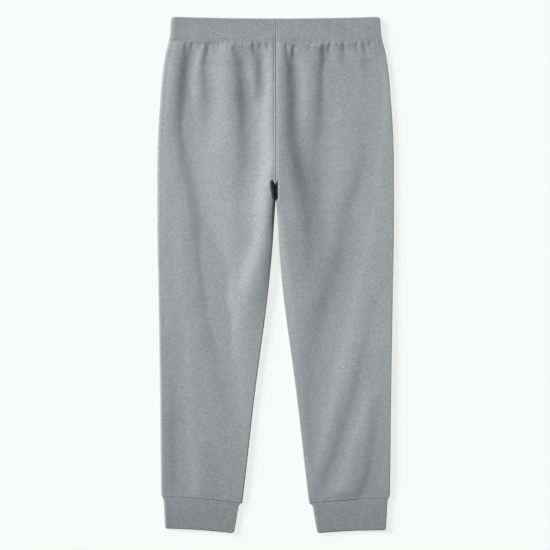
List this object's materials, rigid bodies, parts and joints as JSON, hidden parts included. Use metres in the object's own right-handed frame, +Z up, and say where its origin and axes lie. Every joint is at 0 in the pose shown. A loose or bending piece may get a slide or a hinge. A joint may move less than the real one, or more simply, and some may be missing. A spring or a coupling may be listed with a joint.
{
  "type": "sweatpants",
  "caption": "Fleece sweatpants with a ribbed elastic waistband, a centre back seam and ribbed ankle cuffs, laid flat on their front.",
  "frame": {"origin": "centre of the bounding box at the surface that the pants lie on, in the gap just below the crotch", "axes": "+Z up, away from the surface; +Y along the pants towards the waistband; +X towards the wearer's right leg"},
  "size_m": [0.4738, 1.0319, 0.0214],
  "materials": {
    "fleece": "heather grey brushed fleece, matt, with fine short flecks across the cloth",
    "rib": "heather grey fine rib knit, matt, a little darker than the fleece"
  },
  "bodies": {
    "root": {"waistband": "rib", "back_left": "fleece", "back_right": "fleece", "front_left": "fleece", "front_right": "fleece", "cuff_left": "rib", "cuff_right": "rib"}
  },
  "joints": []
}
